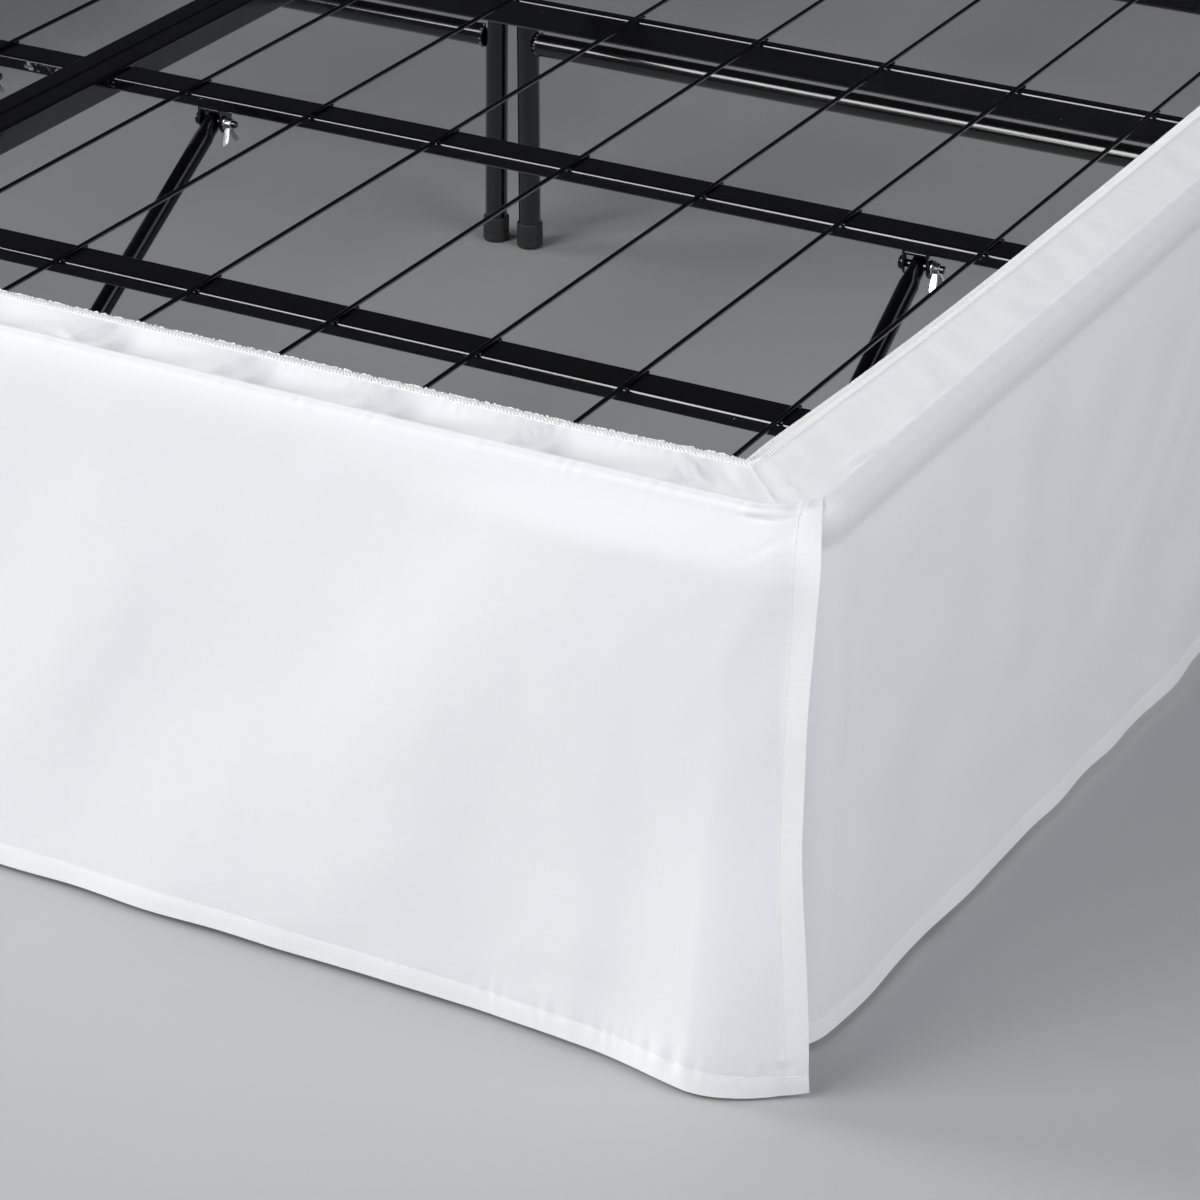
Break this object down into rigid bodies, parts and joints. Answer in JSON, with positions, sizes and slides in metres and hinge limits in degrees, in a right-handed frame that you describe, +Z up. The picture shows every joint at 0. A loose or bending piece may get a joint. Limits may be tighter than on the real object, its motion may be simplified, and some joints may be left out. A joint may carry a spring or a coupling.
{
  "type": "bed skirt on a metal bed frame",
  "caption": "Tailored split-corner bed skirt, a flat heading band with hanging drop panels, on a folding wire-deck metal bed frame.",
  "frame": {"origin": "on the floor, under the middle of the bounding box", "axes": "+X to the sleeper's left as they lie (the picture's right side), +Y towards the head end, +Z up from the floor the legs stand on"},
  "size_m": [1.5752, 2.0934, 0.3562],
  "materials": {
    "cotton": "matt white plain-weave sheeting",
    "black_steel": "semi-gloss black powder coat",
    "zinc": "bright zinc plate"
  },
  "bodies": {
    "root": {"band_foot": "cotton", "band_head": "cotton", "band_left": "cotton", "band_right": "cotton", "brace_inner_foot_left": "black_steel", "brace_inner_foot_right": "black_steel", "brace_inner_head_left": "black_steel", "brace_inner_head_right": "black_steel", "brace_outer_foot_left": "black_steel", "brace_outer_foot_right": "black_steel", "brace_outer_head_left": "black_steel", "brace_outer_head_right": "black_steel", "centre_rail_foot_left": "black_steel", "centre_rail_foot_right": "black_steel", "centre_rail_head_left": "black_steel", "centre_rail_head_right": "black_steel", "deck_foot_left": "black_steel", "deck_foot_right": "black_steel", "deck_head_left": "black_steel", "deck_head_right": "black_steel", "leg_inner_foot_left": "black_steel", "leg_inner_foot_right": "black_steel", "leg_inner_head_left": "black_steel", "leg_inner_head_right": "black_steel", "leg_inner_mid_left": "black_steel", "leg_inner_mid_right": "black_steel", "leg_outer_foot_left": "black_steel", "leg_outer_foot_right": "black_steel", "leg_outer_head_left": "black_steel", "leg_outer_head_right": "black_steel", "leg_outer_mid_left": "black_steel", "leg_outer_mid_right": "black_steel", "panel_foot": "cotton", "panel_left": "cotton", "panel_right": "cotton", "side_rail_foot_left": "black_steel", "side_rail_foot_right": "black_steel", "side_rail_head_left": "black_steel", "side_rail_head_right": "black_steel", "stretcher_foot_left": "black_steel", "stretcher_foot_right": "black_steel", "stretcher_head_left": "black_steel", "stretcher_head_right": "black_steel", "stretcher_mid_left": "black_steel", "stretcher_mid_right": "black_steel", "wing_nut_inner_foot_left": "zinc", "wing_nut_inner_foot_right": "zinc", "wing_nut_inner_head_left": "zinc", "wing_nut_inner_head_right": "zinc", "wing_nut_outer_foot_left": "zinc", "wing_nut_outer_foot_right": "zinc", "wing_nut_outer_head_left": "zinc", "wing_nut_outer_head_right": "zinc"}
  },
  "joints": []
}
